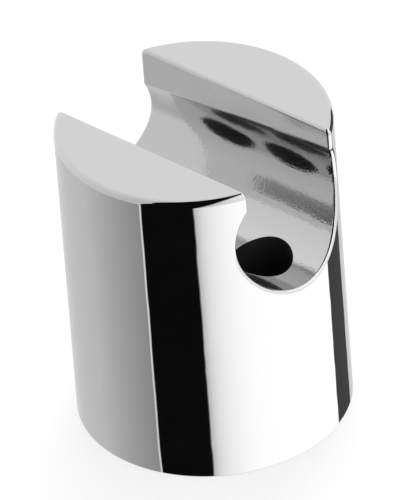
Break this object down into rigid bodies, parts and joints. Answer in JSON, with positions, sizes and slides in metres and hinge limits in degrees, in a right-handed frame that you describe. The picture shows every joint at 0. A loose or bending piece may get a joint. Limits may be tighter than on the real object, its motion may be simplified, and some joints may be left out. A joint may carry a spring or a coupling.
{
  "type": "hand shower holder",
  "caption": "Round wall holder for a hand shower: a cylinder with a tapered, open-fronted cradle across it that takes the cone of the shower hose.",
  "frame": {"origin": "centre of the round wall face, on the axis of the body", "axes": "+Z out of the wall along the axis of the body, +X along the cradle towards its wide end, which is uppermost in use, +Y across the cradle"},
  "size_m": [0.044, 0.044, 0.0537],
  "materials": {
    "chrome_plate": "polished bright chrome on die-cast zinc"
  },
  "bodies": {
    "root": {"holder_body": "chrome_plate"}
  },
  "joints": []
}
